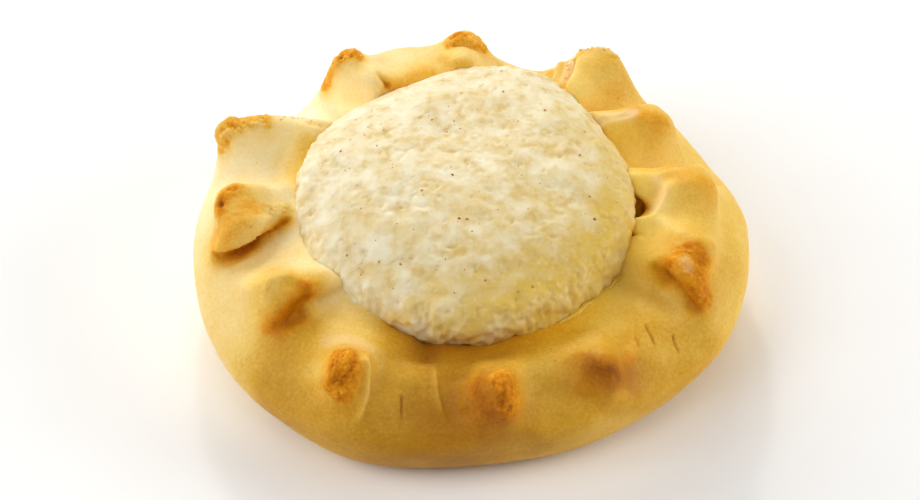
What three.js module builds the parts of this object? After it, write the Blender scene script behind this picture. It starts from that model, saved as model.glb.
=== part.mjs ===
// A mini cheese pie: a cushion of soft dough, folded up round a mound of curd cheese and pinched into
// twelve pleats, then baked until the cheese has puffed above the dough that holds it.
// Millimetres, +Z up. The origin is under the middle of the pie, on the flat face that it rests on, and
// the near side is -Y. Angles are degrees about the cheese's own axis, counter-clockwise from +X, seen
// from above, and distances across the pie are measured from that axis.

import * as THREE from 'three';

// ---- The dough ------------------------------------------------------------------------------------------

// Each pleat is a fin of dough that stands out from the filling. at is the angle of its outer tip, reach the
// tip's distance from the axis, top its height and ridge the height of its inner end. swirl is the angle by
// which that inner end is turned from the tip, girth the fin's thickness beside a common one, and face how
// far the fin has flopped over sideways, towards larger angles, so that its side there ends in a crease.
// belly is how far out the dough bulges under it, valley the height of the dough between this pleat and the
// next, and notch how far it is drawn in there.
const PLEATS = [
  { at: 1, reach: 30.6, top: 19.6, ridge: 18.6, swirl: 2, face: 3.6, girth: 1.35,
    belly: 36.5, valley: 14.0, notch: 0.4 },
  { at: 25, reach: 28.0, top: 19.8, ridge: 18.8, swirl: 12, face: 3.2, girth: 1.25,
    belly: 34.2, valley: 14.0, notch: 0.6 },
  { at: 50, reach: 29.4, top: 21.7, ridge: 20.0, swirl: -2, face: 0, girth: 1.9,
    belly: 32.7, valley: 13.6, notch: 1.0 },
  { at: 90, reach: 27.2, top: 20.8, ridge: 20.0, swirl: 0, face: 0, girth: 1.15,
    belly: 31.2, valley: 18.6, notch: -1.0 },
  { at: 124, reach: 27.7, top: 21.5, ridge: 20.6, swirl: -3, face: 2.8, girth: 1.0,
    belly: 31.9, valley: 13.4, notch: 0.6 },
  { at: 160, reach: 31.7, top: 19.9, ridge: 19.0, swirl: -12, face: -3.4, girth: 1.3,
    belly: 33.5, valley: 15.0, notch: -1.0 },
  { at: 183, reach: 29.8, top: 20.0, ridge: 16.6, swirl: -6, face: 5.6, girth: 0.9,
    belly: 34.6, valley: 14.6, notch: -0.5 },
  { at: 213.5, reach: 28.6, top: 19.0, ridge: 16.6, swirl: 8, face: 3.4, girth: 1.0,
    belly: 35.5, valley: 14.4, notch: 0.0 },
  { at: 242.5, reach: 32.3, top: 17.9, ridge: 14.8, swirl: 0, face: 2.8, girth: 0.85,
    belly: 35.5, valley: 13.8, notch: 0.4 },
  { at: 278, reach: 31.6, top: 17.5, ridge: 14.0, swirl: 0, face: -2.8, girth: 0.85,
    belly: 33.4, valley: 13.6, notch: 0.2 },
  { at: 302, reach: 32.0, top: 16.6, ridge: 14.0, swirl: 0, face: 0, girth: 0.85,
    belly: 34.2, valley: 13.4, notch: 0.3 },
  { at: 341, reach: 31.4, top: 19.6, ridge: 16.8, swirl: 4, face: -5.0, girth: 0.95,
    belly: 36.6, valley: 16.0, notch: 0.0 },
];

const FOOT_INSET = 8.2; // from the belly in to the rim of the flat underside
const BELLY_HEIGHT = 8.6;
const BELLY_LIFT = 1.2; // by how much the belly is higher under a pleat
const VALLEY_CREST = 4.2; // from the lip of the well out to the highest line of a valley
const RIDGE_BACK = 5.5; // from a tip in along the top of its pleat
const CREST_HALF_WIDTH = 3; // of a pleat of girth 1, along its crest
const CREASE = 0.16; // depth of the crease where a face ends, as a share of its pleat
const TUCK = 0.3; // how far the dough is tucked in there under the face's edge, as a share of the face

// ---- The filling ----------------------------------------------------------------------------------------

const FILLING_RADIUS = 20.7;
// the lumps of its outline: how many go round, how far each stands out, and the angle of the first one
const FILLING_LUMPS = [
  { waves: 1, size: 0.5, at: -60 },
  { waves: 3, size: 0.4, at: 60 },
  { waves: 4, size: 0.45, at: -15 },
  { waves: 5, size: 0.2, at: -6 },
];
const FILLING_EDGE = 16.7; // height at which the cheese is widest
const FILLING_TOP = 23.3;
const FILLING_TILT = 1.5; // by how much its edge is higher, at the far right, and lower, opposite there
const FILLING_TILT_AT = 65;
const WELL_FLOOR = 5; // thickness of the dough under the cheese
const WELL_SHOULDER = 10; // height at which the well starts to close in
const WELL_TOP = 13; // height to which its wall stays upright
const GAP = 0.35; // kept between the cheese and the dough round it

// ---- Mesh density ---------------------------------------------------------------------------------------

const COLUMNS_PER_PLEAT = 16;
const CROWDING = 0.5; // of the columns towards the pleats
const FILLING_COLUMNS = 72;

const { degToRad, euclideanModulo, lerp, smoothstep } = THREE.MathUtils;
const TURN = 2 * Math.PI;

/** A closed skin through columns of points that all start at one pole and end at another. */
function closedSkin(columns) {
  const rings = columns[0].length - 2;
  const count = columns.length;
  const points = [columns[0][0]];
  for (let ring = 1; ring <= rings; ring++) points.push(...columns.map((column) => column[ring]));
  points.push(columns[0][rings + 1]);
  const at = (ring, column) => 1 + ring * count + (column % count);
  const index = [];
  for (let c = 0; c < count; c++) {
    index.push(0, at(0, c + 1), at(0, c));
    for (let ring = 0; ring < rings - 1; ring++) {
      const [a, b, d, e] = [at(ring, c), at(ring, c + 1), at(ring + 1, c), at(ring + 1, c + 1)];
      index.push(a, b, e, a, e, d);
    }
    index.push(points.length - 1, at(rings - 1, c), at(rings - 1, c + 1));
  }
  const geometry = new THREE.BufferGeometry().setFromPoints(points);
  geometry.setIndex(index);
  geometry.computeVertexNormals();
  return geometry;
}

/** A smooth line through control points, with the given number of steps from each point to the next. */
function smoothLine(controls, steps) {
  const curve = new THREE.CatmullRomCurve3(controls, false, 'centripetal');
  const line = [controls[0].clone()];
  steps.forEach((count, segment) => {
    for (let i = 1; i <= count; i++) line.push(curve.getPoint((segment + i / count) / steps.length));
  });
  return line;
}

const polar = (angle, radius, height) =>
  new THREE.Vector3(radius * Math.cos(angle), radius * Math.sin(angle), height);

/** The signed angle from b to a, between -half a turn and half a turn. */
const turnBetween = (a, b) => euclideanModulo(a - b + TURN / 2, TURN) - TURN / 2;

/** A value at an angle, passing smoothly from each station round the rim to the next. */
function roundTheRim(angle, stations) {
  const passed = stations.map((station) => euclideanModulo(angle - station.angle, TURN));
  const from = passed.indexOf(Math.min(...passed));
  const to = (from + 1) % stations.length;
  const gap = euclideanModulo(stations[to].angle - stations[from].angle, TURN);
  return lerp(stations[from].value, stations[to].value, smoothstep(passed[from] / gap, 0, 1));
}

const atPleats = (key) => PLEATS.map((pleat) => ({ angle: degToRad(pleat.at), value: pleat[key] }));

const inValleys = (key) =>
  PLEATS.map((pleat, i) => {
    const next = PLEATS[i + 1]?.at ?? PLEATS[0].at + 360;
    return { angle: degToRad((pleat.at + next) / 2), value: pleat[key] };
  });

const RIM = {
  belly: atPleats('belly'),
  swirl: atPleats('swirl'),
  valley: inValleys('valley'),
  notch: inValleys('notch'),
};

/** The filling's outline: a lumpy circle. */
const fillingRadius = (angle) =>
  FILLING_LUMPS.reduce(
    (radius, { waves, size, at }) => radius + size * Math.cos(waves * (angle - degToRad(at))),
    FILLING_RADIUS,
  );

/**
 * How much of a pleat there is at a distance to one side of its crest: 1 on the crest, near 0 in a valley.
 * Its face slopes off the crest and then falls steeply into a crease, and its other side is rounded.
 */
function pleatShare(distance, halfWidth, face, creased) {
  if (distance * face <= 0) return 1 / (1 + Math.abs(distance / halfWidth) ** 2.7);
  const down = distance / face;
  const crease = Math.exp(-(((down - 1.4) / 0.3) ** 2));
  return (1 - 0.3 * down) / (1 + down ** 8) - CREASE * creased * crease;
}

/** How far the skin is moved sideways there, so that the face's edge hangs over the crease. */
function pleatTuck(distance, face) {
  if (distance * face <= 0) return 0;
  const past = (distance / face - 1.05) / 0.3;
  return -TUCK * face * past * Math.exp(0.5 * (1 - past ** 2));
}

/** One column of the dough's skin, from the middle of its underside over the rim to its well's floor. */
function doughColumn(angle) {
  const belly = roundTheRim(angle, RIM.belly);
  const valley = roundTheRim(angle, RIM.valley);
  const notch = roundTheRim(angle, RIM.notch);
  const swirl = degToRad(roundTheRim(angle, RIM.swirl));
  const lip = (turned) => fillingRadius(angle + turned * swirl) + GAP;

  // a control point that goes from the valley's radius and height to each pleat's own. turned says how much
  // of the swirl it takes, and folded how much of the pleats' creases and flopped faces
  const control = (halfWidth, turned, folded, [radius, height], onPleat) => {
    const point = { radius, height, tuck: 0 };
    for (const pleat of PLEATS) {
      const distance = turnBetween(angle, degToRad(pleat.at)) * pleat.reach;
      const face = (pleat.face * halfWidth) / CREST_HALF_WIDTH;
      const share = pleatShare(distance, halfWidth * pleat.girth, face, folded);
      const [pleatRadius, pleatHeight] = onPleat(pleat);
      point.radius += share * (pleatRadius - radius);
      point.height += share * (pleatHeight - height);
      point.tuck += (folded * pleatTuck(distance, face)) / pleat.reach;
    }
    return polar(angle + turned * swirl + point.tuck, point.radius, point.height);
  };

  const foot = polar(angle, belly - FOOT_INSET, 0);
  const footRound = [polar(angle, belly - 0.4 * FOOT_INSET, 1.2), polar(angle, belly - 1.1, 4.6)];
  const bulge = control(6.5, 0, 0, [belly, BELLY_HEIGHT], () => [belly, BELLY_HEIGHT + BELLY_LIFT]);
  const side = control(3.7, 0, 0.2, [belly - 3.2 - notch, valley - 1.8], (pleat) => [
    pleat.reach + 1.7,
    pleat.top - 4.8,
  ]);
  const shoulder = control(3.1, 0, 0.8, [belly - 6.2 - notch, valley - 0.2], (pleat) => [
    pleat.reach + 1.1,
    pleat.top - 1.6,
  ]);
  const crest = control(CREST_HALF_WIDTH, 0, 1, [lip(0) + VALLEY_CREST, valley + 0.3], (pleat) => [
    pleat.reach - 1.1,
    pleat.top,
  ]);
  const ridge = control(CREST_HALF_WIDTH, 0.5, 0.6, [lip(0.5) + 2, valley + 0.4], (pleat) => [
    pleat.reach - RIDGE_BACK,
    lerp(pleat.top, pleat.ridge, 0.6),
  ]);
  const innerEnd = control(3.3, 1, 0, [lip(1) + 0.5, valley + 0.1], (pleat) => [
    lip(1) + 0.7,
    pleat.ridge - 0.8,
  ]);
  const well = [
    polar(angle + swirl, lip(1), Math.min(valley - 1, WELL_TOP)),
    polar(angle + swirl, lip(1) - 0.9, WELL_SHOULDER),
    polar(angle + swirl, lip(1) - 4.5, WELL_FLOOR + 0.6),
    polar(angle, 12, WELL_FLOOR),
  ];
  const line = smoothLine(
    [foot, ...footRound, bulge, side, shoulder, crest, ridge, innerEnd, ...well],
    [2, 2, 2, 3, 3, 3, 3, 3, 2, 1, 2, 1],
  );
  return [polar(0, 0, 0), ...line, polar(0, 0, WELL_FLOOR)];
}

/** The angles of the dough's columns, closest together on the pleats' faces. */
function doughAngles() {
  const busiest = (pleat) => degToRad(pleat.at) + (0.7 * pleat.face) / pleat.reach;
  return PLEATS.flatMap((pleat, i) => {
    const next = PLEATS[(i + 1) % PLEATS.length];
    const whole = euclideanModulo(busiest(next) - busiest(pleat), TURN);
    return Array.from({ length: COLUMNS_PER_PLEAT }, (_, c) => {
      const part = c / COLUMNS_PER_PLEAT;
      return busiest(pleat) + whole * (part - (CROWDING * Math.sin(TURN * part)) / TURN);
    });
  });
}

/** One column of the cheese's skin, from the middle of its underside up its side to its top. */
function fillingColumn(angle) {
  const edge = fillingRadius(angle);
  const floor = WELL_FLOOR + GAP;
  const rise = FILLING_TILT * Math.cos(angle - degToRad(FILLING_TILT_AT));
  const foot = polar(angle, 11, floor);
  const side = [
    polar(angle, edge - 5, floor + 0.7),
    polar(angle, edge - 1, WELL_SHOULDER),
    polar(angle, edge - 0.1, FILLING_EDGE - 2.3),
    polar(angle, edge, FILLING_EDGE + rise),
    polar(angle, edge - 0.5, FILLING_EDGE + rise + 2),
    polar(angle, edge - 2.6, FILLING_EDGE + rise + 3.9),
  ];
  const mound = [polar(angle, 12, FILLING_TOP - 0.6 + 0.5 * rise), polar(angle, 5, FILLING_TOP)];
  const line = smoothLine([foot, ...side, ...mound], [1, 2, 2, 2, 3, 3, 3, 2]);
  return [polar(0, 0, floor), ...line, polar(0, 0, FILLING_TOP)];
}

const fillingAngles = Array.from({ length: FILLING_COLUMNS }, (_, c) => (TURN * c) / FILLING_COLUMNS);

const dough = new THREE.Mesh(
  closedSkin(doughAngles().map(doughColumn)),
  new THREE.MeshStandardMaterial({ color: '#e3b765', roughness: 0.62, metalness: 0 }),
);
dough.name = 'crust';

const cheese = new THREE.Mesh(
  closedSkin(fillingAngles.map(fillingColumn)),
  new THREE.MeshStandardMaterial({ color: '#efe3bd', roughness: 0.5, metalness: 0 }),
);
cheese.name = 'filling';

const pie = new THREE.Group();
pie.add(dough, cheese);
const middle = new THREE.Box3().setFromObject(pie).getCenter(new THREE.Vector3());
pie.position.set(-middle.x, -middle.y, 0);

export default pie;
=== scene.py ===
import math
import random

import bmesh
import bpy
import numpy as np
from mathutils import Matrix, Vector, noise
from mathutils.bvhtree import BVHTree


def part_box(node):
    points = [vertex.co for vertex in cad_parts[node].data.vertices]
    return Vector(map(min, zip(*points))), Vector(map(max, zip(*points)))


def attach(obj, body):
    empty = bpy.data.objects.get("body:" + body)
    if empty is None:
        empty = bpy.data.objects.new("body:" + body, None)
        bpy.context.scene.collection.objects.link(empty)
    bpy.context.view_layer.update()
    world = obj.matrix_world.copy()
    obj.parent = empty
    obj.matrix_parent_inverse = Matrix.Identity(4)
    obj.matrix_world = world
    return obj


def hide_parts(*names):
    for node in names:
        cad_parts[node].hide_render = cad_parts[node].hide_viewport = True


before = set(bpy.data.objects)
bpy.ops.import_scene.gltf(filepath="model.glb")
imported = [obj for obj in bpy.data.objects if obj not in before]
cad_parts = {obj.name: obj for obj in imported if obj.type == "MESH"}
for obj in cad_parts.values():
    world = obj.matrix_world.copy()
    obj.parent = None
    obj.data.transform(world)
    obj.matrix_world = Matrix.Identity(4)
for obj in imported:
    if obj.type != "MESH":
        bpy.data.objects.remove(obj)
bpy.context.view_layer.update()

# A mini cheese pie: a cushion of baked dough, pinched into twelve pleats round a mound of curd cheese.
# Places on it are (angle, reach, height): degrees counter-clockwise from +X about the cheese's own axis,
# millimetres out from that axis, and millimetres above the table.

# ---- The crust ------------------------------------------------------------------------------------------
# Soft yeast dough, rolled out, folded up round the cheese and pinched between thumb and finger, so that its
# folds stand up as fins. The thin pinched tips dry out, tear into crumbs and brown first in the oven, while
# the dough between them stays pale and smooth.

MM = 0.001
filling_low, filling_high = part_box("filling")
# the cheese's axis, in millimetres, is a little off the middle of its box
AXIS = 1000 * (filling_low + filling_high) / 2 + Vector((-0.09, 0.36, 0))


def place(angle, reach, height):
    """The point in millimetres at an angle, reach and height."""
    turn = math.radians(angle)
    return np.array([AXIS.x + reach * math.cos(turn), AXIS.y + reach * math.sin(turn), height])


def about_axis(points):
    """The angles, reaches and heights of points."""
    x = points[:, 0] - AXIS.x
    y = points[:, 1] - AXIS.y
    return np.degrees(np.arctan2(y, x)) % 360, np.hypot(x, y), points[:, 2]


def around(angles, middle, spread):
    """1 at a middle angle, falling off softly on both sides of it over a spread in degrees."""
    return np.exp(-((((angles - middle + 180) % 360 - 180) / spread) ** 2))


def ease(values, start, end):
    """0 before the start and 1 past the end, with a soft passage between them."""
    share = np.clip((values - start) / (end - start), 0, 1)
    return share * share * (3 - 2 * share)


def mesh_of(bm, name):
    """A new mesh of what bm holds. It frees bm."""
    mesh = bpy.data.meshes.new(name)
    bm.to_mesh(mesh)
    bm.free()
    return mesh


def evened(rough, voxel, levels=0):
    """A new mesh in place of a rough one: subdivided if levels are given, then cut into even squares of a
    voxel's size in millimetres and smoothed a little."""
    carrier = bpy.data.objects.new(rough.name, rough)
    bpy.context.scene.collection.objects.link(carrier)
    if levels:
        finer = carrier.modifiers.new("finer", "SUBSURF")
        finer.levels = finer.render_levels = levels
    even = carrier.modifiers.new("even", "REMESH")
    even.mode = "VOXEL"
    even.voxel_size = voxel * MM
    soft = carrier.modifiers.new("soft", "SMOOTH")
    soft.factor = 0.5
    soft.iterations = 6
    mesh = bpy.data.meshes.new_from_object(carrier.evaluated_get(bpy.context.evaluated_depsgraph_get()))
    bpy.data.objects.remove(carrier)
    bpy.data.meshes.remove(rough)
    return mesh


def skin_mesh(node, voxel):
    """An even mesh over a solid of the frame, whose triangles are welded and paired into quads first."""
    bm = bmesh.new()
    bm.from_mesh(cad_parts[node].data)
    bmesh.ops.remove_doubles(bm, verts=bm.verts, dist=1e-7)
    any_angle = math.pi
    bmesh.ops.join_triangles(
        bm, faces=bm.faces, angle_face_threshold=any_angle, angle_shape_threshold=any_angle
    )
    return evened(mesh_of(bm, node + "_rough"), voxel, levels=2)


def points_of(mesh):
    """The mesh's points in millimetres."""
    flat = np.empty(len(mesh.vertices) * 3)
    mesh.vertices.foreach_get("co", flat)
    return flat.reshape(-1, 3) / MM


def move_points(mesh, points):
    """Puts the mesh's points at places in millimetres."""
    mesh.vertices.foreach_set("co", (points * MM).ravel())
    mesh.update()


def normals_of(mesh):
    """The directions in which the mesh's points face."""
    flat = np.empty(len(mesh.vertices) * 3)
    mesh.vertex_normals.foreach_get("vector", flat)
    return flat.reshape(-1, 3)


def store(mesh, name, values):
    """Keeps a value from 0 to 1 at each point, for the material to read."""
    mesh.attributes.new(name, "FLOAT", "POINT").data.foreach_set("value", np.clip(values, 0, 1))


def shade_smooth(mesh):
    mesh.polygons.foreach_set("use_smooth", [True] * len(mesh.polygons))


def grain(points, size, octaves, seed):
    """Lumpy noise from about -1 to 1 at each point, with lumps of a size in millimetres."""
    shift = Vector((seed * 17.3, seed * 5.1, seed * 9.7))
    return np.array([noise.fractal(Vector(p) / size + shift, 1.0, 2.0, octaves) for p in points])


def crumbs(points, size, seed):
    """Rounded knobs with sharp seams between them, from 0 in the seams to about 1 on the knobs."""
    shift = Vector((seed * 11.9, seed * 3.7, seed * 7.1))
    near = np.array([noise.voronoi(Vector(p) / size + shift)[0][:2] for p in points])
    return np.clip((near[:, 1] - near[:, 0]) * 1.6, 0, 1)


def smooth_stations(stations):
    """Points along a smooth line through (angle, reach, height) stations, six to each stretch."""
    line = np.array([place(*station) for station in stations])
    ends = np.vstack([2 * line[0] - line[1], line, 2 * line[-1] - line[-2]])
    out = []
    for a, b, c, d in zip(ends, ends[1:], ends[2:], ends[3:]):
        slope = c - a
        bend = 2 * a - 5 * b + 4 * c - d
        twist = 3 * b - a - 3 * c + d
        for t in np.arange(6) / 6:
            out.append(0.5 * (2 * b + slope * t + bend * t**2 + twist * t**3))
    return np.array(out + [line[-1]])


def from_line(points, out, stations, within):
    """Each point's distance from a smooth line, how far along it is, from 0 to 1, and whether it lies on the
    left for one who walks along it on the skin. Points further off than within count as far away."""
    line = smooth_stations(stations)
    nearest = np.full(len(points), 1e3)
    along = np.full(len(points), 0.5)
    left = np.zeros(len(points), bool)
    past_low = points > line.min(axis=0) - within
    below_high = points < line.max(axis=0) + within
    near = np.nonzero(np.all(past_low & below_high, axis=1))[0]
    for i, (a, b) in enumerate(zip(line, line[1:])):
        p = points[near]
        share = np.clip((p - a) @ (b - a) / ((b - a) @ (b - a)), 0, 1)
        offset = p - a - share[:, None] * (b - a)
        distance = np.linalg.norm(offset, axis=1)
        nearer = distance < nearest[near]
        chosen = near[nearer]
        nearest[chosen] = distance[nearer]
        along[chosen] = (i + share[nearer]) / (len(line) - 1)
        left[chosen] = np.einsum("ij,ij->i", offset[nearer], np.cross(out[chosen], b - a)) > 0
    return nearest, along, left


# Where the oven browned the dough: a line over each spot, the spot's half width, how brown it is, how soft
# its edge is, how rough the dried dough is there, and how far it stands up. A few spots are painted shade as
# well as browning: in the pocket, in the square tip's crease, on the torn tip's flank, on the curled ridge's
# face and under the flap's free edge.
SPOTS = [
    # the tip at the back, in layers, golden below
    (
        [(94, 25.2, 20.6), (91, 25.6, 21.0), (87.6, 25.4, 20.6), (84.8, 25.2, 19.5)],
        1.2, 0.5, 0.5, 0.9, 0.35,
    ),
    ([(98, 23.2, 19.6), (93, 21.8, 19.9), (88.5, 21.8, 20.0)], 0.9, 0.38, 1.6, 0.1, 0.0),
    ([(119, 20.4, 19.4), (110, 21.2, 19.1), (103, 21.6, 19.2)], 1.4, 0.43, 1.8, 0.2, 0.0),
    # the tall one to the right of it
    ([(57, 27.8, 20.6), (52, 29.2, 21.6), (47, 29.4, 21.2)], 1.2, 0.38, 1.0, 0.7, 0.1),
    ([(47, 27.6, 21.5), (44.6, 27.8, 20.6), (42.3, 27.5, 19.6)], 1.3, 0.38, 1.8, 0.1, 0.0),
    # the low golden one
    ([(29.5, 24.8, 20.4), (25.2, 25.8, 20.5), (21.4, 27.4, 19.8)], 1.4, 0.44, 1.0, 0.4, 0.1),
    # the wide fold with a pocket, at the right
    (
        [(2.9, 26.5, 19.6), (1.2, 28.4, 20.0), (359.6, 29.8, 19.9), (357.8, 31.0, 19.0)],
        1.7, 0.45, 1.8, 0.15, 0.0,
    ),
    # painted shade deep in the pocket, warm brown, along with its browning
    ([(350.4, 21.0, 15.0), (353.6, 22.0, 16.4)], 0.9, 0.7, 1.8, 0.0, 0.0),
    # the square tip below it, with a darker top edge, and a crease darkened by painted shade as well as
    # browning
    ([(336, 29.4, 19.0), (334.2, 31.2, 17.6)], 2.5, 0.5, 1.1, 0.6, 0.1),
    ([(333.2, 31.0, 17.2), (332.8, 33.0, 14.8)], 1.5, 0.6, 1.4, 0.6, 0.0),
    ([(338.6, 29.2, 19.4), (337.8, 30.8, 19.3), (336.6, 31.6, 18.4)], 0.7, 0.64, 1.6, 0.5, 0.0),
    (
        [(333, 27.6, 18.0), (331.2, 29.0, 16.8), (331, 30.6, 15.6), (331.2, 32.4, 14.0)],
        0.6, 0.66, 1.6, 0.2, 0.0,
    ),
    # the blurred spot at the lower right
    ([(298, 31.2, 14.9), (302, 32.6, 14.6), (307, 32.2, 12.9)], 2.8, 0.66, 1.9, 0.0, 0.0),
    ([(299.4, 31.4, 15.9), (301.4, 32.2, 15.8), (303.6, 32.7, 14.9)], 1.1, 0.8, 1.8, 0.4, 0.0),
    ([(309.7, 30.6, 12.9), (313.9, 29.4, 13.1)], 0.8, 0.44, 2.0, 0.2, 0.0),
    # the torn tip at the front, its flank darkened by painted shade as well as browning
    ([(268.5, 31.6, 13.0), (273, 32.6, 14.0)], 3.2, 0.66, 2.0, 0.0, 0.0),
    ([(271.6, 30.4, 15.6), (273.4, 31.4, 15.5), (274.4, 32.8, 14.2)], 1.9, 0.76, 2.0, 0.2, 0.0),
    ([(278.4, 30.4, 17.0), (280.4, 31.4, 16.3), (279.8, 32.8, 15.0)], 1.8, 0.54, 1.0, 0.7, 0.1),
    # the oval one to the left of it
    ([(242.2, 30.8, 17.4), (243.8, 32.0, 16.8), (244.2, 33.2, 15.4)], 2.2, 0.62, 0.5, 0.85, 0.1),
    # the curled ridge at the lower left, its face turned from the light darkened by painted shade and browning
    ([(217.4, 30.6, 15.8), (216.8, 28.6, 17.9), (217.8, 26.8, 18.4)], 2.0, 0.34, 1.7, 0.2, 0.0),
    (
        [(220.6, 25.0, 17.8), (221.8, 26.4, 16.6), (221.2, 28.0, 15.6), (220.6, 29.6, 14.4)],
        1.5, 0.68, 1.8, 0.2, 0.0,
    ),
    # the flap at the left, browned along its rims, with a painted shadow, browned as well, under its free edge
    ([(187, 30.6, 18.4), (185, 29.8, 19.4), (182.6, 28.4, 20.0)], 1.3, 0.55, 1.4, 0.5, 0.1),
    ([(186.8, 30.4, 18.8), (185.8, 30.1, 19.2)], 0.5, 0.7, 1.6, 0.3, 0.0),
    (
        [(188.4, 27.0, 19.0), (191.6, 28.6, 18.6), (193.0, 30.2, 17.2), (192.6, 31.4, 15.6)],
        2.2, 0.48, 1.8, 0.3, 0.0,
    ),
    # painted shadow under the flap's free edge, with browning
    (
        [
            (190.8, 23.4, 16.4), (193.9, 25.2, 16.3), (194.2, 27.6, 15.0),
            (194.8, 29.6, 14.8), (194.0, 31.4, 14.2),
        ],
        0.6, 0.72, 1.8, 0.2, 0.0,
    ),
    ([(187.6, 24.8, 17.9), (187, 23.4, 17.2)], 0.9, 0.3, 1.4, 0.8, 0.2),
    # the crumbly one above it, golden where it meets the cheese
    (
        [(164, 32.2, 17.2), (162.4, 31.9, 18.8), (160.6, 30.4, 20.0), (157.2, 28.0, 19.8)],
        1.5, 0.45, 1.1, 0.9, 0.2,
    ),
    ([(157, 22.6, 17.2), (164, 22.4, 16.4), (171, 22.4, 16.0)], 1.3, 0.36, 2.0, 0.0, 0.0),
    # and the one at the back left, browned down its outer side
    ([(127.2, 27.2, 20.4), (125, 26.8, 21.3), (123.4, 25.6, 21.7)], 1.2, 0.5, 0.7, 0.9, 0.25),
    ([(128.8, 27.0, 20.0), (130.2, 27.4, 18.4), (130.6, 28.8, 15.4)], 0.9, 0.5, 0.9, 0.4, 0.15),
]
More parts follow.
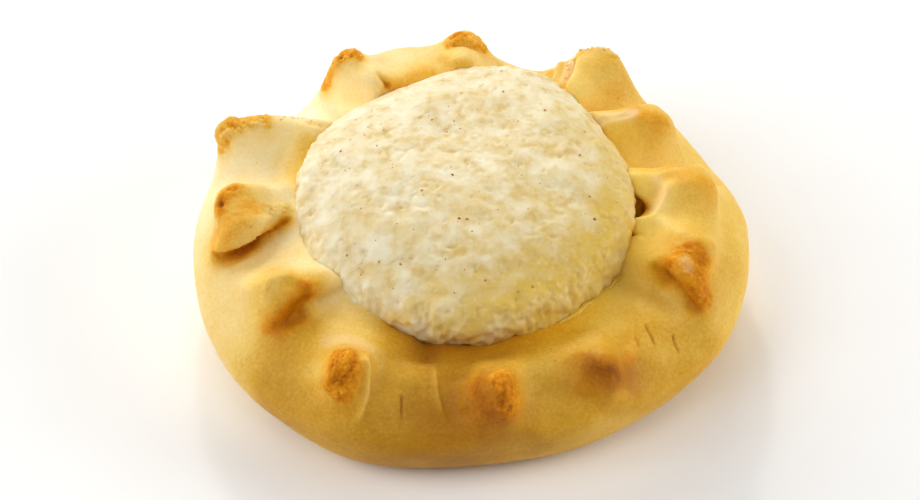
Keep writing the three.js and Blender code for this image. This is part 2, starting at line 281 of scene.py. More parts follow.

# Folds of the skin: a line, how wide the fold is on its left and on its right, how far it stands up or,
# below zero, sinks in, and how much browner the dough is there. That browning is partly real and
# partly painted light: painted shade darkens the folds that sink in, and painted highlight (below zero)
# pales the rims that stand up.
FOLDS = [
    # the wide fold at the right: its deep pocket, the thick lip round it, and a slit under the lip; the pocket
    # and the slit are painted darker as shade, the lip a little paler as painted highlight
    ([(350.4, 20.6, 14.4), (353.6, 21.8, 16.2), (357.4, 22.8, 17.7)], 2.4, 1.3, -1.3, 0.3),
    (
        [
            (346.8, 21.8, 15.8), (349.2, 23.8, 17.0), (353.6, 24.9, 17.9),
            (358.2, 25.5, 18.8), (362, 25.4, 19.2),
        ],
        0.6, 1.2, 0.9, -0.1,
    ),
    (
        [(348.8, 24.2, 17.2), (347.0, 25.4, 17.6), (343.4, 27.2, 18.5), (340.4, 28.6, 19.3)],
        1.0, 0.7, 0.4, -0.1,
    ),
    ([(344.2, 21.0, 14.6), (343.0, 22.6, 15.9), (342.6, 24.2, 16.9)], 0.35, 0.35, -0.9, 0.3),
    (
        [(5, 21.4, 18.0), (4, 23.6, 18.8), (4.5, 26.0, 19.3), (3.6, 28.6, 19.8)],
        0.5, 0.9, 0.35, -0.08,
    ),
    # the square tip's near edge, a step with a fold under it painted dark as shade
    (
        [
            (336, 27.8, 18.6), (333.2, 28.4, 18.4), (332, 29.8, 17.4),
            (331.8, 31.4, 16.0), (332.2, 33.0, 14.2),
        ],
        1.1, 0.35, 0.5, 0.0,
    ),
    (
        [
            (333.4, 27.0, 17.6), (331, 28.2, 16.8), (330.3, 29.8, 15.6),
            (330.3, 31.6, 14.2), (330.7, 33.8, 12.8),
        ],
        0.4, 0.8, -0.9, 0.12,
    ),
    # painted shade in the hollow beside it
    ([(335, 25.4, 17.0), (331.8, 26.8, 16.4), (330.6, 28.8, 14.8)], 1.3, 1.3, -0.4, 0.22),
    # the golden one's second lip
    (
        [(30.4, 21.6, 18.4), (27.6, 23.0, 19.6), (26.4, 24.2, 20.1), (25, 25.4, 20.4)],
        0.8, 0.5, 0.2, -0.06,
    ),
    ([(31.6, 21.6, 18.6), (29, 23.0, 19.7), (27.8, 24.6, 20.2)], 0.4, 0.4, -0.2, 0.05),
    # the tall one's edge and the groove beside it
    (
        [(55, 27.4, 20.8), (53.4, 25.2, 20.7), (51.6, 23.2, 20.4), (50, 21.8, 19.4)],
        0.9, 0.3, 0.45, -0.08,
    ),
    (
        [
            (57.8, 27.0, 19.8), (56.2, 25.2, 19.7), (54.8, 23.8, 19.5),
            (53.2, 22.6, 19.1), (51.4, 21.6, 18.6),
        ],
        0.5, 0.5, -1.6, 0.14,
    ),
    ([(59.4, 28.6, 19.4), (57.6, 28.4, 20.2), (56, 28.2, 20.6)], 0.7, 0.7, 0.4, 0.0),
    # and the lower leaf of dough beside that
    (
        [(62, 27.4, 18.6), (60.2, 25.8, 18.5), (58.8, 24.2, 18.4), (57, 22.6, 18.2)],
        0.5, 0.7, 0.9, -0.02,
    ),
    ([(64, 26.4, 17.2), (62.8, 24.6, 17.2), (61, 22.6, 17.0)], 0.5, 0.5, -0.6, 0.08),
    # layers of the tip at the back
    ([(95, 25.2, 20.6), (90, 26.4, 20.6), (86, 26.8, 19.4)], 0.3, 0.3, -0.6, 0.2),
    (
        [(95, 24.0, 20.4), (91.8, 24.2, 20.9), (88, 24.0, 20.8), (84, 24.4, 19.2)],
        0.3, 0.3, -0.5, 0.15,
    ),
    # the front: the notch and the crease under the cheese, both painted darker as the cheese's shadow, a thin
    # wrinkle whose paleness is a painted highlight, and one crack
    (
        [(257.4, 20.2, 13.6), (258.4, 22.2, 14.0), (259.2, 24.0, 14.1), (259.8, 25.8, 14.1)],
        1.4, 2.2, -0.8, 0.1,
    ),
    (
        [(240, 22.4, 13.2), (246, 21.6, 13.4), (254, 21.4, 13.7), (262, 21.6, 14.2), (272, 21.8, 14.2)],
        1.0, 1.0, -0.8, 0.26,
    ),
    (
        [(262.4, 25.4, 14.1), (263.0, 27.2, 13.8), (264.4, 29.4, 12.8), (266.2, 31.6, 11.2)],
        0.14, 0.5, 0.2, -0.1,
    ),
    (
        [(255.5, 29.5, 13.1), (256.0, 30.4, 12.6), (256.5, 31.5, 11.9), (257.0, 32.6, 11.2)],
        0.14, 0.14, -0.3, 0.14,
    ),
    # a soft swell beside the torn tip, and a shallow dip further left
    ([(270.6, 27.0, 13.9), (270.4, 29.2, 13.5), (270.8, 31.6, 12.6)], 1.6, 1.6, 0.8, 0.0),
    ([(252, 23.4, 14.2), (251.6, 27.0, 14.0), (252.4, 31.0, 12.6)], 1.6, 1.6, -0.3, 0.0),
    # the thin rim beside the oval tip, paler as a painted highlight, and the hollow inside it, painted darker
    # as shade
    (
        [
            (245.2, 28.0, 17.0), (247.4, 29.4, 16.4), (248.5, 31.0, 13.8),
            (248.6, 33.0, 12.1), (247.6, 35.0, 10.6),
        ],
        0.25, 0.7, 0.4, -0.14,
    ),
    ([(246.4, 29.4, 16.9), (247.3, 31.0, 15.6), (247.1, 32.8, 13.4)], 0.5, 0.5, -0.3, 0.06),
    # the curled ridge, and the hollow inside its curl, painted darker as shade
    (
        [
            (215.8, 29.8, 17.2), (214.8, 28.0, 18.8), (216.4, 25.8, 18.9),
            (220.4, 24.8, 17.8), (222, 25.2, 16.4),
        ],
        0.8, 0.6, 0.45, 0.0,
    ),
    ([(222.6, 25.4, 14.8), (222.2, 27.4, 14.9), (221.8, 29.6, 14.4)], 0.8, 0.8, -0.7, 0.1),
    # the flap's free edge, the fold it throws, painted darker as its shadow, and the crease down from its pit
    (
        [
            (191.6, 33.0, 13.8), (194, 31.4, 15.0), (193.8, 29.4, 15.9),
            (193.4, 27.2, 16.9), (192, 25.2, 17.5), (189, 24.0, 17.6),
        ],
        1.3, 0.35, 0.75, -0.05,
    ),
    (
        [
            (193.8, 32.8, 13.0), (195.8, 31.2, 14.2), (195.6, 29.0, 14.8),
            (195.2, 27.0, 15.6), (194.6, 25.0, 16.2), (191, 23.0, 16.4),
        ],
        0.5, 0.8, -1.1, 0.1,
    ),
    (
        [(187.8, 30.4, 18.6), (190.4, 31.0, 17.4), (191, 31.8, 15.4), (192, 32.8, 13.8)],
        0.2, 0.2, -0.25, 0.06,
    ),
    ([(185.8, 30.1, 19.2), (186.8, 30.5, 18.6)], 0.4, 0.4, -0.6, 0.1),
    ([(191.2, 22.6, 16.2), (193.6, 24.2, 16.0)], 0.9, 0.9, -0.7, 0.12),
    # the broad tip above it stands up square, with two tears near the cheese
    ([(164.4, 32.4, 17.6), (161.4, 32.4, 18.9), (158, 31.0, 19.8)], 1.5, 1.5, 0.75, 0.0),
    ([(150.8, 23.6, 19.0), (149.6, 21.6, 18.2)], 0.5, 0.5, -0.6, 0.15),
    ([(146.6, 23.4, 18.6), (145.6, 22.0, 17.8)], 0.3, 0.3, -0.4, 0.12),
    # tears in the tip at the back left, the crease beside its outer strip, and the one by the cheese
    ([(125.8, 26.8, 21.3), (127, 27.2, 20.5)], 0.35, 0.35, -0.5, 0.2),
    ([(127.4, 26.6, 20.0), (128.4, 26.8, 18.4), (129.4, 28.2, 15.6)], 0.3, 0.3, -0.4, 0.15),
    ([(122, 22.0, 20.6), (121.4, 21.0, 20.2), (120.2, 19.8, 18.8)], 0.5, 0.4, -0.8, 0.2),
    # fine cracks at the lower right
    (
        [(320.7, 28.1, 13.7), (319.5, 29.1, 13.3), (318.8, 30.1, 12.8), (317.7, 31.3, 12.0)],
        0.16, 0.16, -0.25, 0.15,
    ),
    ([(323.8, 31.3, 12.3), (322.3, 32.2, 11.6), (321.3, 33.5, 10.9)], 0.16, 0.16, -0.25, 0.15),
    ([(315.6, 28.6, 13.4), (314.6, 30.2, 12.8)], 0.14, 0.14, -0.18, 0.1),
]

# Where the skin is pale and dull: dusted, and on the square tip a painted highlight. A line, its half width and
# how strong.
DUSTED_AND_LIT = [
    ([(58.4, 27.4, 19.8), (56.8, 25.4, 19.6), (55.2, 23.8, 19.4)], 0.8, 0.65),
    ([(56, 28.6, 21.0), (50, 29.6, 21.6)], 0.9, 0.35),
    ([(33, 21.8, 18.6), (30.5, 23.0, 19.6), (28.8, 24.2, 20.2)], 1.1, 0.5),
    ([(1.5, 24.2, 18.9), (357.4, 24.8, 18.5), (353, 24.2, 17.5)], 0.8, 0.4),
    # a painted highlight on the square tip's top
    ([(334.5, 29.6, 19.0), (333, 30.4, 18.6)], 0.6, 0.25),
    ([(246, 26.0, 16.2), (240, 26.4, 16.4), (234, 27.4, 15.6)], 1.2, 0.3),
    ([(149.6, 24.4, 19.2), (148.4, 23.2, 18.9)], 0.8, 0.5),
]

# Where the dough is smoother than the solid's folds: a line and a half width.
SMOOTHED = [
    (
        [
            (272.2, 23.4, 14.4), (272.6, 26.3, 14.8), (272.6, 29.0, 15.0),
            (272.4, 31.8, 14.2), (272, 33.4, 12.0),
        ],
        3.2,
    ),
    ([(247.0, 22.0, 14.8), (247.6, 24.8, 14.8), (248.6, 27.8, 14.2), (249.4, 31.0, 12.8)], 2.4),
    ([(222.7, 25.4, 14.6), (222.5, 28.4, 14.2), (222.2, 30.6, 13.2)], 1.6),
]


def even_dough():
    """The crust's smooth skin, as a mesh that is coarse where it is hidden and finest where it will be torn."""
    mesh = skin_mesh("crust", voxel=0.35)
    bm = bmesh.new()
    bm.from_mesh(mesh)
    # the well and the underside don't show, so they keep few faces
    underside = 0.1 * MM
    well = 20 * MM
    middle = AXIS.to_2d() * MM
    hidden = [v for v in bm.verts if v.co.z < underside or (v.co.to_2d() - middle).length < well]
    hidden_set = set(hidden)
    inside = [e for e in bm.edges if hidden_set.issuperset(e.verts)]
    bmesh.ops.dissolve_limit(bm, angle_limit=math.radians(4), verts=hidden, edges=inside)
    bm.normal_update()
    bm.verts.index_update()
    bm.verts.ensure_lookup_table()
    places = np.array([v.co for v in bm.verts]) / MM
    facing = np.array([v.normal for v in bm.verts])
    # how far in millimetres points are looked for round a line, and how often the smooth places are smoothed
    search = 3
    smoothings = 70
    for stations, half_width in SMOOTHED:
        distance = from_line(places, facing, stations, search)[0]
        chosen = [bm.verts[i] for i in np.nonzero(distance < half_width)[0]]
        for _ in range(smoothings):
            bmesh.ops.smooth_vert(
                bm, verts=chosen, factor=0.5, use_axis_x=True, use_axis_y=True, use_axis_z=True
            )
    # the torn tips and the narrow folds get smaller faces, for their crumbs and sharp edges
    torn_roughness = 0.5
    narrow_fold = 0.35
    beside_fold = 0.7
    fine = np.zeros(len(places), bool)
    for stations, half_width, _, _, rough, _ in SPOTS:
        if rough >= torn_roughness:
            fine |= from_line(places, facing, stations, search)[0] < half_width
    for stations, on_left, on_right, _, _ in FOLDS:
        if min(on_left, on_right) <= narrow_fold:
            fine |= from_line(places, facing, stations, search)[0] < beside_fold
    chosen = [e for e in bm.edges if fine[e.verts[0].index] and fine[e.verts[1].index]]
    bmesh.ops.subdivide_edges(bm, edges=chosen, cuts=1, use_grid_fill=True)
    bmesh.ops.recalc_face_normals(bm, faces=bm.faces)
    bm.to_mesh(mesh)
    bm.free()
    return mesh


def dough_mesh():
    """The crust's skin, with its folds, torn tips and creases, and how brown each of its points is, from baking
    and from painted shade and highlight.
    """
    mesh = even_dough()
    points = points_of(mesh)
    out = normals_of(mesh)
    angles, reaches, heights = about_axis(points)
    shown = ease(reaches, 18, 21)

    # the dough leans in against the cheese all round, least at the deep pocket
    lean = 1.3 * ease(heights, 9, 11) * (1 - ease(reaches, 21.8, 24.5)) * shown
    lean *= 1 - 0.5 * around(angles, 354, 5)
    inward = np.stack([AXIS.x - points[:, 0], AXIS.y - points[:, 1]], axis=1)
    inward /= np.maximum(reaches, 1)[:, None]
    leant = points.copy()
    leant[:, :2] += lean[:, None] * inward
    # and creeps up its edge, except in front, where the cheese overhangs it
    leant[:, 2] += 0.7 * lean * (1 - around(angles, 268, 24))

    # it isn't quite even, and its skin has fine shallow dimples
    swell = 0.16 * grain(points, 9, 2, 1) + 0.05 * grain(points, 2.6, 2, 2)
    swell *= ease(heights, 0.3, 4) * shown
    # darker and more golden towards the near side and the right; paler on the left and where it faces the
    # cheese at the back, partly as painted light
    near_side = np.clip(-points[:, 1] / 32, 0, 1)
    right_side = points[:, 0] / 35
    inner = (1 - ease(reaches, 21, 28)) * ease(heights, 9, 12)
    baked_and_shade = 0.22 + 0.05 * grain(points, 7, 2, 6)
    baked_and_shade += 0.3 * near_side**2 + 0.06 * right_side - 0.08 * inner * (1 - near_side)
    # higher dough a little browner; inside the near side, under the cheese's edge, darker still: painted shade
    # of the cheese along with butter-soaked browning
    baked_and_shade += 0.05 * ease(heights, 15, 19.5) + 0.42 * inner * np.clip(near_side - 0.35, 0, 1)
    # and it is uneven round the pie: an angle, a spread, and how much browner the inside and the outside are,
    # which holds painted shade and highlight as well as browning
    for middle, spread, inside, outside in (
        # these two darken inside the near side: painted shade of the cheese, with browning
        (276, 24, 0.2, 0.0),
        (262, 16, 0.1, 0.08),
        (228, 7, 0.04, 0.12),
        (300, 13, 0.0, -0.1),
        (328, 20, 0.0, 0.04),
        # paler at the back left, partly as painted light
        (150, 40, -0.06, -0.12),
        # paler inside at the near left: a painted highlight
        (222, 18, -0.16, 0.0),
        (195, 24, 0.0, 0.05),
        (45, 22, -0.02, 0.05),
        (75, 18, 0.0, 0.06),
    ):
        baked_and_shade += around(angles, middle, spread) * (inside * inner + outside * (1 - inner))

    torn = np.zeros(len(points))
    toasted_and_shade = np.zeros(len(points))
    fray = 0.4 * grain(points, 2.2, 4, 3)
    for stations, half_width, brown_and_shade, soft, rough, lift in SPOTS:
        spread = from_line(points, out, stations, 4 * half_width)[0] / half_width
        share = 1 - ease(spread + fray, 1 - 0.5 * soft, 1 + 0.5 * soft)
        blush = 1 - ease(spread + 0.7 * fray, 0.6, 2.6)
        swell += lift * (1 - ease(spread + 0.5 * fray, 0.6, 1.4))
        torn = np.maximum(torn, rough * (1 - ease(spread + fray, 0.6, 1.2)))
        # real browning, and at a few spots painted shade
        baked_and_shade += np.maximum(brown_and_shade - baked_and_shade, 0) * np.maximum(share, 0.45 * blush)
        crisp = ease(brown_and_shade, 0.3, 0.5) * (0.4 + 0.6 * ease(rough, 0, 0.2))
        toasted_and_shade = np.maximum(toasted_and_shade, np.maximum(share, 0.5 * blush) * crisp)
    # the torn dough is stringy: its crumbs are longer along the pleat than across it, and are measured in
    # millimetres round the pie at the reach of the tips
    tip_reach = 30
    stretch = 0.5
    where = torn > 0.02
    strings = np.stack([np.radians(angles) * tip_reach, reaches * stretch, heights * stretch], axis=1)[where]
    knobs = 0.7 * grain(strings, 0.7, 4, 4) + 0.5 * crumbs(points[where], 0.6, 5) - 0.2
    swell[where] += 0.45 * torn[where] * knobs
    baked_and_shade[where] -= 0.2 * torn[where] * knobs

    under_cheese = 22.1
    for stations, on_left, on_right, height, brown_and_shade in FOLDS:
        distance, along, left = from_line(points, out, stations, 3.5 * max(on_left, on_right))
        share = np.exp(-((distance / np.where(left, on_left, on_right)) ** 2))
        # a fold fades out at its ends, but not where it comes out from under the cheese
        if stations[0][1] > under_cheese:
            share *= ease(along, 0, 0.25)
        share *= ease(1 - along, 0, 0.25)
        swell += height * share
        # browning along the folds, with painted shade in the creases and painted highlight on the rims
        baked_and_shade += brown_and_shade * share
    leant += out * swell[:, None]
    leant[:, 2] = np.maximum(leant[:, 2], 0)
    move_points(mesh, leant)

    dusted_and_lit = np.zeros(len(points))
    for stations, half_width, strength in DUSTED_AND_LIT:
        spread = from_line(points, out, stations, 2 * half_width)[0] / half_width
        dusted_and_lit = np.maximum(dusted_and_lit, strength * (1 - ease(spread + fray, 0.3, 1.5)))
    # butterfat from the cheese has soaked the dough yellow, most of it in front and on the right
    butter = inner * (0.25 + 0.75 * np.clip(near_side + right_side, 0, 1))
    butter += 0.5 * np.clip(right_side + 0.1, 0, 1)
    butter += 0.1 * grain(points, 5, 2, 7)
    store(mesh, "baked_and_shade", baked_and_shade)
    store(mesh, "torn", torn / 0.7)
    store(mesh, "toasted_and_shade", toasted_and_shade)
    store(mesh, "butter", butter)
    store(mesh, "dusted_and_lit", dusted_and_lit)
    shade_smooth(mesh)
    return mesh


def linear(hex_colour):
    """A linear colour from sRGB hex."""
    parts = [int(hex_colour[i : i + 2], 16) / 255 for i in (1, 3, 5)]
    return tuple(c / 12.92 if c <= 0.04045 else ((c + 0.055) / 1.055) ** 2.4 for c in parts) + (1.0,)


def new_material(name):
    """A material, its node tree and its shader."""
    material = bpy.data.materials.new(name)
    material.use_nodes = True
    return material, material.node_tree, material.node_tree.nodes["Principled BSDF"]


def add(tree, kind, inputs=(), **settings):
    """Adds a node. Settings go on the node; inputs, by name or number, take a value or another's output."""
    node = tree.nodes.new(kind)
    for key, value in settings.items():
        setattr(node, key, value)
    for key, value in dict(inputs).items():
        if isinstance(value, bpy.types.NodeSocket):
            tree.links.new(value, node.inputs[key])
        else:
            node.inputs[key].default_value = value
    return node


def read(tree, name):
    """The value that the mesh stores under a name."""
    return add(tree, "ShaderNodeAttribute", attribute_name=name).outputs["Fac"]


def per_size(millimetres):
    """The scale of a pattern whose features measure so much."""
    return 1 / (millimetres * MM)


def clouds(tree, where, size, detail, roughness=0.5):
    """Cloudy noise whose features have a size in millimetres."""
    inputs = {"Vector": where, "Scale": per_size(size), "Detail": detail, "Roughness": roughness}
    return add(tree, "ShaderNodeTexNoise", inputs).outputs["Fac"]


def plus(tree, value, weight, onto):
    """A value times its weight, added onto another."""
    inputs = {0: value, 1: weight, 2: onto}
    return add(tree, "ShaderNodeMath", inputs, operation="MULTIPLY_ADD").outputs[0]


def spread_out(tree, value, start, end, low, high):
    """A value between start and end, spread out to run from low to high."""
    inputs = {"Value": value, "From Min": start, "From Max": end, "To Min": low, "To Max": high}
    return add(tree, "ShaderNodeMapRange", inputs).outputs[0]


def shades(tree, value, stops):
    """A colour that a value picks from a row of stops, as (place, colour)."""
    node = add(tree, "ShaderNodeValToRGB", {"Fac": value})
    ramp = node.color_ramp
    ramp.elements.remove(ramp.elements[-1])
    for i, (at, colour) in enumerate(stops):
        element = ramp.elements[0] if i == 0 else ramp.elements.new(at)
        element.position = at
        element.color = linear(colour)
    return node.outputs["Color"]


def mix(tree, share, below, above, blend="MIX"):
    """One colour over another, by its share."""
    inputs = {0: share, 6: below, 7: above}
    return add(tree, "ShaderNodeMix", inputs, data_type="RGBA", blend_type=blend).outputs[2]


# Baked yeast dough. It gives the eye a soft satin skin with fine pores, pale cream where it was covered and
# golden to dark brown where it stood up into the hot air; the torn tips are matt. Its colour also holds
# painted shade in the creases and under the cheese, and painted highlights on some rims.
def baked_dough():
    material, tree, shader = new_material("baked_dough")
    where = add(tree, "ShaderNodeTexCoord").outputs["Object"]
    torn = read(tree, "torn")
    mottle = clouds(tree, where, 3.2, 4.0)
    fine = clouds(tree, where, 0.4, 3.0)
    heat_and_shade = plus(tree, fine, 0.16, plus(tree, mottle, 0.16, read(tree, "baked_and_shade")))
    # freckles: a dark dot in some of the cells of a pattern
    cells = add(tree, "ShaderNodeTexVoronoi", {"Vector": where, "Scale": per_size(2.6)})
    dot = spread_out(tree, cells.outputs["Distance"], 0.03, 0.08, 1.0, 0.0)
    cells_without = 0.62
    some = add(
        tree, "ShaderNodeMath", {0: cells.outputs["Color"], 1: cells_without}, operation="GREATER_THAN"
    )
    freckle = add(tree, "ShaderNodeMath", {0: dot, 1: some.outputs[0]}, operation="MULTIPLY")
    heat_and_shade = plus(tree, freckle.outputs[0], 0.12, heat_and_shade)
    # both noises together add 0.16 in the middle of their range
    level = add(tree, "ShaderNodeMath", {0: heat_and_shade, 1: 0.16}, operation="SUBTRACT", use_clamp=True).outputs[0]
    skin = shades(
        tree,
        level,
        [
            (0.0, "#fff0c6"),
            (0.15, "#fbdd9a"),
            (0.3, "#efc766"),
            (0.42, "#dda936"),
            (0.55, "#c0881f"),
            (0.75, "#99600c"),
        ],
    )
    # where it stood up into the hot air it turned orange, then brown; the spots of painted shade take these
    # colours too
    crisp = shades(
        tree,
        level,
        [
            (0.2, "#fbdc9c"),
            (0.34, "#f7cb6e"),
            (0.44, "#f2b748"),
            (0.54, "#e89b16"),
            (0.65, "#d07e06"),
            (0.78, "#a45d02"),
            (0.9, "#764203"),
            (1.0, "#4a2000"),
        ],
    )
    colour = mix(tree, read(tree, "toasted_and_shade"), skin, crisp)
    soaked = mix(tree, read(tree, "butter"), colour, linear("#fff5a6"), "MULTIPLY")
    floury_and_lit = mix(tree, read(tree, "dusted_and_lit"), soaked, linear("#f7dcab"))
    tree.links.new(floury_and_lit, shader.inputs["Base Color"])
    tree.links.new(plus(tree, torn, 0.25, 0.5), shader.inputs["Roughness"])
    pores = clouds(tree, where, 0.7, 5.0, 0.65)
    shallow = add(tree, "ShaderNodeBump", {"Height": pores, "Strength": 0.6, "Distance": 0.14 * MM})
    crumbly = add(
        tree,
        "ShaderNodeBump",
        {"Height": fine, "Strength": torn, "Distance": 0.2 * MM, "Normal": shallow.outputs[0]},
    )
    tree.links.new(crumbly.outputs[0], shader.inputs["Normal"])
    shader.inputs["Subsurface Weight"].default_value = 0.15
    shader.inputs["Subsurface Radius"].default_value = (1.0, 0.5, 0.2)
    shader.inputs["Subsurface Scale"].default_value = 1.2 * MM
    shader.inputs["IOR"].default_value = 1.45
    shader.inputs["Specular IOR Level"].default_value = 0.18
    return material


def new_piece(name, mesh, material):
    """A visible thing of one mesh and one material, at the origin."""
    thing = bpy.data.objects.new(name, mesh)
    bpy.context.scene.collection.objects.link(thing)
    mesh.materials.append(material)
    return thing


crust = new_piece("pinched_crust", dough_mesh(), baked_dough())
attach(crust, "root")
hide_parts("crust")

# ---- The filling ----------------------------------------------------------------------------------------
# Curd cheese beaten with egg and a little semolina, spooned in as a mound. It has puffed and set in the
# oven: its skin keeps the soft lumps and small pits of the curd, and its edge laps unevenly on the dough.


def cheese_mesh():
    """The cheese's skin, with its lumps and its lapping edge, where it is dry or fat, and painted light
    whitening its left.
    """
    mesh = skin_mesh("filling", voxel=0.24)
    points = points_of(mesh)
    out = normals_of(mesh)
    _, reaches, heights = about_axis(points)
    top = ease(heights, 13, 16)
    # soft lumps of mashed curd, some of them with a seam between, then fine grains and a few pits
    warp = 1.5 * np.stack([grain(points, 2.6, 3, seed) for seed in (21, 22, 23)], axis=1)
    seams = (1 - ease(crumbs(points + warp, 4.2, 12), 0, 0.4)) * ease(grain(points, 6.0, 1, 25), -0.1, 0.4)
    curdy = ease(grain(points, 5.0, 2, 27), -0.1, 0.4)
    pits = ease(grain(points, 0.9, 1, 14), 0.45, 0.7)
    swell = 0.3 * grain(points, 6.5, 2, 11) + 0.09 * grain(points, 2.4, 3, 13) - 0.16 * seams
    swell += (0.02 + 0.06 * curdy) * grain(points, 0.9, 2, 15) - 0.18 * pits
    swell *= top
    # the edge laps over the dough in small lobes, and closes the gap to it
    side = ease(reaches, 18.6, 20.4) * ease(heights, 9, 12)
    foot = 0.45 * (1 - ease(heights, 13.5, 17.5)) * (1 - ease(-points[:, 1], 15, 20))
    swell += side * (0.4 + foot + 0.36 * grain(points, 2.2, 2, 16) + 0.2 * grain(points, 0.8, 2, 17))
    points = points + out * swell[:, None]
    move_points(mesh, points)

    # fat gathers yellow at the edge, more of it in front and on the right, and dry curds show white; the cheese
    # is also painted whiter towards the left, as painted light
    cheese_reach = 22
    oily_side = (0.8 * points[:, 0] - points[:, 1]) / cheese_reach
    dry_and_lit_side = (-0.8 * points[:, 0] - 0.6 * points[:, 1]) / cheese_reach
    edge = ease(reaches, 12, 19)
    fat = 0.12 + 0.18 * oily_side + 0.7 * edge * np.clip(oily_side, -0.4, 1.2)
    fat += 0.35 * grain(points, 4.5, 3, 19)
    fat += 0.22 * top * seams
    # dry curds, with painted light whitening them towards the left
    dry_and_lit = ease(grain(points, 2.6, 5, 18), -0.2, 0.6) * (0.62 + 0.25 * dry_and_lit_side)
    dry_and_lit += 0.2 * np.clip(dry_and_lit_side, 0, 1)
    dry_and_lit *= 1 - 0.7 * np.clip(fat, 0, 1)
    # two yellow smears on the left edge: a line and a half width
    for stations, half_width in (
        ([(175, 20.9, 17.6), (180, 20.9, 17.6)], 1.1),
        ([(197, 21.1, 15.8), (204, 21.1, 15.2)], 0.9),
    ):
        distance = from_line(points, out, stations, 3)[0]
        fat = np.maximum(fat, 1.4 * (1 - ease(distance / half_width, 0.3, 1.4)))
    store(mesh, "dry_and_lit", dry_and_lit)
    store(mesh, "fat", fat)
    shade_smooth(mesh)
    return mesh


# Baked curd. It gives the eye a moist, slightly see-through cream white with whiter dry grains and yellow
# butterfat, and a low uneven sheen. Its left side is painted whiter, as painted light.
def baked_curd():
    material, tree, shader = new_material("baked_curd")
    where = add(tree, "ShaderNodeTexCoord").outputs["Object"]
    mottle = clouds(tree, where, 1.6, 5.0)
    body = shades(tree, mottle, [(0.34, "#dcc07f"), (0.5, "#e8d5a3"), (0.66, "#efe1bb")])
    oily = mix(tree, read(tree, "fat"), body, linear("#e2be54"))
    # whiter dry curds, and painted light on the left
    curdy = mix(tree, read(tree, "dry_and_lit"), oily, linear("#f6edcf"))
    # grains of curd the size of semolina, whiter than the rest
    grains = spread_out(tree, clouds(tree, where, 0.6, 3.0), 0.54, 0.72, 0.0, 0.2)
    grainy = mix(tree, grains, curdy, linear("#faf4e2"))
    tree.links.new(grainy, shader.inputs["Base Color"])
    # its sheen is uneven, with some wet pinpricks
    fine = clouds(tree, where, 0.45, 4.0, 0.6)
    sheen = spread_out(tree, fine, 0.64, 0.7, 0.52, 0.2)
    tree.links.new(sheen, shader.inputs["Roughness"])
    bump = add(tree, "ShaderNodeBump", {"Height": fine, "Strength": 0.4, "Distance": 0.12 * MM})
    tree.links.new(bump.outputs[0], shader.inputs["Normal"])
    shader.inputs["Subsurface Weight"].default_value = 0.5
    shader.inputs["Subsurface Radius"].default_value = (1.0, 0.8, 0.45)
    shader.inputs["Subsurface Scale"].default_value = 1.6 * MM
    shader.inputs["IOR"].default_value = 1.4
    shader.inputs["Specular IOR Level"].default_value = 0.45
    return material


cheese = new_piece("curd_mound", cheese_mesh(), baked_curd())
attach(cheese, "root")
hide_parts("filling")

# ---- Specks on the cheese -------------------------------------------------------------------------------
# Tiny grains of vanilla seed, husk and scorched curd, 0.1 to 0.5 mm across. They were stirred into the curd
# or browned on it in the oven, and lie half sunk in its skin.


def skin_of(thing):
    """A piece's surface, for finding places on it."""
    corners = [v.co.copy() for v in thing.data.vertices]
    return BVHTree.FromPolygons(corners, [tuple(p.vertices) for p in thing.data.polygons])


def lay_grain(bm, spot, normal, radius, squash):
    """A small faceted ball, squashed along its three axes, laid on a skin and turned at random. It returns
    the ball's points."""
    lay = normal.to_track_quat("Z", "Y").to_matrix().to_4x4()
    spin = Matrix.Rotation(rng.uniform(0, math.tau), 4, "Z")
    laid = Matrix.Translation(spot) @ lay @ spin @ Matrix.Diagonal((*squash, 1))
    return bmesh.ops.create_icosphere(bm, subdivisions=1, radius=radius, matrix=laid)["verts"]


SPECKS = 150
SPECK_RADII = (0.06, 0.07, 0.08, 0.1, 0.1, 0.12, 0.15, 0.24)
DOWN = Vector((0, 0, -1))
# a height in millimetres that is above the whole pie
ABOVE_ALL = 40
rng = random.Random(7)
cheese_skin = skin_of(cheese)


def speck_mesh():
    bm = bmesh.new()
    for _ in range(SPECKS):
        turn = rng.uniform(0, math.tau)
        reach = 19.5 * math.sqrt(rng.random())
        above = Vector((AXIS.x + reach * math.cos(turn), AXIS.y + reach * math.sin(turn), ABOVE_ALL)) * MM
        spot, normal, _, _ = cheese_skin.ray_cast(above, DOWN)
        radius = rng.choice(SPECK_RADII) * MM
        lay_grain(bm, spot, normal, radius, (1, rng.uniform(0.55, 1), 0.35))
    mesh = mesh_of(bm, "specks")
    shade_smooth(mesh)
    return mesh


# Toasted husk: matt, from golden to rust and dark brown.
def toasted_husk():
    material, tree, shader = new_material("toasted_husk")
    where = add(tree, "ShaderNodeTexCoord").outputs["Object"]
    patch = clouds(tree, where, 4.0, 1.0)
    tone = shades(tree, patch, [(0.35, "#c4752a"), (0.5, "#dda04f"), (0.65, "#945522")])
    tree.links.new(tone, shader.inputs["Base Color"])
    shader.inputs["Roughness"].default_value = 0.7
    return material


specks = new_piece("specks", speck_mesh(), toasted_husk())
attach(specks, "root")

# ---- Crumbs on the dough --------------------------------------------------------------------------------
# Dry crumbs of dough, 0.3 to 0.7 mm across. They broke off the tips as these were pinched and torn, and
# stuck to the folds beside them.

CRUMB_HEAPS = [
    # a line, its half width and how many lie there
    ([(58.2, 27.2, 19.8), (56.6, 25.2, 19.7), (55, 23.6, 19.3)], 0.5, 18),
    ([(57, 28.2, 21.0), (50, 29.4, 21.8)], 0.8, 6),
    ([(153, 26.6, 19.4), (149.4, 22.6, 18.6)], 0.6, 9),
]
rng = random.Random(11)
dough_skin = skin_of(crust)


def any_way():
    """A random step, of about 1 along each axis."""
    return Vector((rng.gauss(0, 1), rng.gauss(0, 1), rng.gauss(0, 1)))


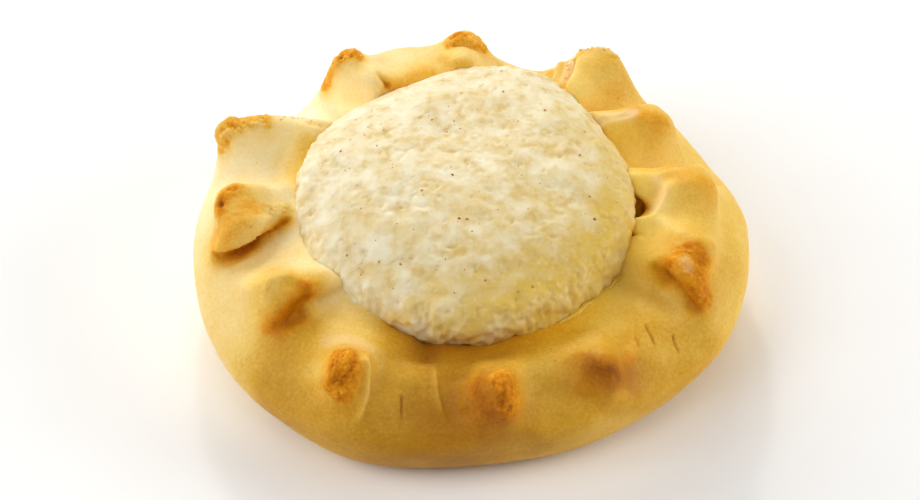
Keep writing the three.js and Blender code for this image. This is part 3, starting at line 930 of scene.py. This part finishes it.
def crumb_mesh():
    bm = bmesh.new()
    for stations, half_width, count in CRUMB_HEAPS:
        line = smooth_stations(stations)
        for _ in range(count):
            about = Vector(line[rng.randrange(len(line))]) * MM
            about += any_way() * 0.6 * half_width * MM
            spot, normal, _, _ = dough_skin.find_nearest(about)
            radius = rng.uniform(0.16, 0.34) * MM
            spot -= 0.15 * radius * normal
            squash = (1, rng.uniform(0.6, 1), rng.uniform(0.45, 0.6))
            for v in lay_grain(bm, spot, normal, radius, squash):
                v.co += any_way() * 0.12 * radius
    mesh = mesh_of(bm, "crumbs")
    shade_smooth(mesh)
    return mesh


# Dry crumb: matt, pale cream to gold.
def dry_crumb():
    material, tree, shader = new_material("dry_crumb")
    where = add(tree, "ShaderNodeTexCoord").outputs["Object"]
    patch = clouds(tree, where, 0.9, 1.0)
    tone = shades(tree, patch, [(0.35, "#f8da9c"), (0.5, "#efc46e"), (0.65, "#dfa64a")])
    tree.links.new(tone, shader.inputs["Base Color"])
    shader.inputs["Roughness"].default_value = 0.75
    return material


crumb_heaps = new_piece("crumbs", crumb_mesh(), dry_crumb())
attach(crumb_heaps, "root")

# ---- Melted butter --------------------------------------------------------------------------------------
# Butterfat that melted out of the cheese in the oven. It ran into the seam between cheese and dough at the
# lower right and set there as a thin glossy bead.

BEADS = [
    # angles from and to, and the bead's half width
    (302, 316, 0.34),
    (321, 330, 0.26),
]
# degrees from one of its balls to the next
BEAD_STEP = 0.35


def seam_at(out):
    """Where the dough starts to show beside the cheese, in a direction from its axis."""
    reach = 20.0
    furthest = 23.5
    while reach < furthest:
        above = Vector((AXIS.x, AXIS.y, ABOVE_ALL)) * MM + out * reach * MM
        dough = dough_skin.ray_cast(above, DOWN)[0]
        curd = cheese_skin.ray_cast(above, DOWN)[0]
        if dough and (not curd or dough.z > curd.z):
            break
        reach += 0.1
    return dough


def bead_mesh():
    """Flattened balls in a row along the seam, thickest halfway and melted into one."""
    bm = bmesh.new()
    for start, end, half_width in BEADS:
        for angle in np.arange(start, end, BEAD_STEP):
            turn = math.radians(angle)
            out = Vector((math.cos(turn), math.sin(turn), 0))
            share = (angle - start) / (end - start)
            taper = 0.5 + 0.5 * math.sin(math.pi * share)
            uneven = 1 + 0.3 * noise.noise(Vector((angle, 0, 0)))
            flat = Matrix.Translation(seam_at(out) + out * 0.15 * MM) @ Matrix.Diagonal((1, 1, 0.7, 1))
            radius = half_width * taper * uneven * MM
            bmesh.ops.create_icosphere(bm, subdivisions=2, radius=radius, matrix=flat)
    mesh = evened(mesh_of(bm, "bead_rough"), voxel=0.07)
    shade_smooth(mesh)
    return mesh


# Melted butterfat: golden yellow, wet and almost mirror smooth, so it gives bright glints.
def butterfat():
    material, _, shader = new_material("butterfat")
    shader.inputs["Base Color"].default_value = linear("#e8bb3e")
    shader.inputs["Roughness"].default_value = 0.06
    shader.inputs["IOR"].default_value = 1.46
    return material


bead = new_piece("butter_bead", bead_mesh(), butterfat())
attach(bead, "root")

# ---- Table, light and camera ----------------------------------------------------------------------------
# A flat white card under the pie. Big soft lamps stand at its back and sides and over its near left, and
# little light comes from in front, so the near side of the crust is its darkest. A small lamp at the back
# gives the butter its glints.


# White card: plain and matt, so that the pie's soft shadow lies on it.
def white_card():
    material, _, shader = new_material("white_card")
    shader.inputs["Base Color"].default_value = linear("#fbfaf8")
    shader.inputs["Roughness"].default_value = 0.8
    return material


CARD_HALF_WIDTH = 3
bm = bmesh.new()
bmesh.ops.create_grid(bm, x_segments=1, y_segments=1, size=CARD_HALF_WIDTH)
floor = new_piece("floor", mesh_of(bm, "floor"), white_card())

LAMP_DISTANCE = 0.6


def lamp(name, angle, elevation, watts, width=0.35):
    """A square lamp of a width in metres, 60 cm away, that faces the pie from an angle and an elevation."""
    light = bpy.data.lights.new(name, "AREA")
    light.size = width
    light.energy = watts
    holder = bpy.data.objects.new(name, light)
    bpy.context.scene.collection.objects.link(holder)
    turn = math.radians(angle)
    rise = math.radians(elevation)
    towards = Vector((math.cos(turn) * math.cos(rise), math.sin(turn) * math.cos(rise), math.sin(rise)))
    holder.location = LAMP_DISTANCE * towards
    holder.rotation_mode = "QUATERNION"
    middle_of_pie = Vector((0, 0, 0.01))
    holder.rotation_quaternion = (middle_of_pie - holder.location).to_track_quat("-Z", "Y")


lamp("right", 0, 20, 2.2)
lamp("back", 95, 32, 1.3)
lamp("glint", 97, 36, 0.5, 0.06)
lamp("back_left", 125, 20, 1.2)
lamp("left", 182, 22, 0.85)
lamp("front_left", 210, 45, 1.35)
lamp("above", 280, 68, 0.6)

world = bpy.data.worlds.new("studio")
bpy.context.scene.world = world
world.use_nodes = True
world.node_tree.nodes["Background"].inputs["Color"].default_value = (1, 1, 1, 1)
world.node_tree.nodes["Background"].inputs["Strength"].default_value = 0.06
bpy.context.scene.view_settings.view_transform = "Standard"

LENS = 85
DISTANCE = 0.279
LOOKING_DOWN = math.radians(47)
# it looks at a point inside the cheese, given in millimetres
target = Vector((AXIS.x - 0.5, AXIS.y - 0.6, 7.7)) * MM
back = Vector((0, -math.cos(LOOKING_DOWN), math.sin(LOOKING_DOWN)))
camera = bpy.data.objects.new("camera", bpy.data.cameras.new("camera"))
bpy.context.scene.collection.objects.link(camera)
camera.data.lens = LENS
camera.data.clip_start = 0.01
camera.data.clip_end = 10
camera.location = target + back * DISTANCE
camera.rotation_mode = "QUATERNION"
camera.rotation_quaternion = (-back).to_track_quat("-Z", "Y")
bpy.context.scene.camera = camera
